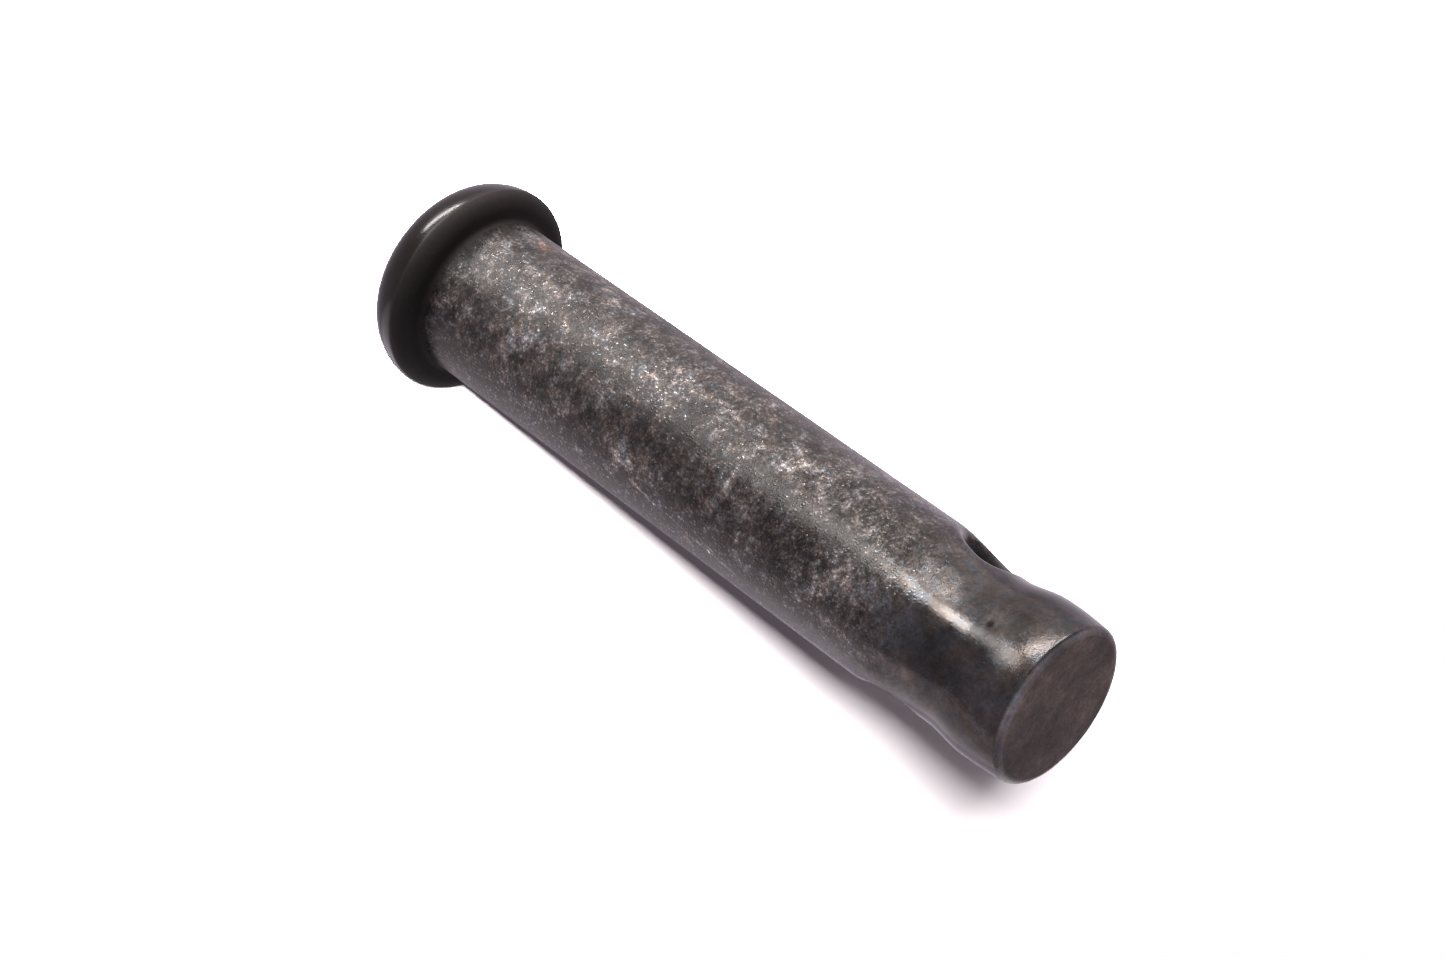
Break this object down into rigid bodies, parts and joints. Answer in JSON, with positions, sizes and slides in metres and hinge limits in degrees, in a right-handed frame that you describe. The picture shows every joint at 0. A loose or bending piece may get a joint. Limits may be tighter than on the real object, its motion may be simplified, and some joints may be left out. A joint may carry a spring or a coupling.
{
  "type": "clevis pin",
  "caption": "Headed clevis pin with a straight shank, rounded head rim, waisted tip and a cotter hole across it.",
  "frame": {"origin": "centre of the head's outer face, which the pin stands on", "axes": "+Z along the shank from the head to the tip, X along the cotter hole"},
  "size_m": [0.0126, 0.0126, 0.0473],
  "materials": {
    "phosphated_steel": "dark grey mottled phosphate coat on steel, speckled along the shank and worn smooth near the tip"
  },
  "bodies": {
    "root": {"clevis_pin": "phosphated_steel"}
  },
  "joints": []
}
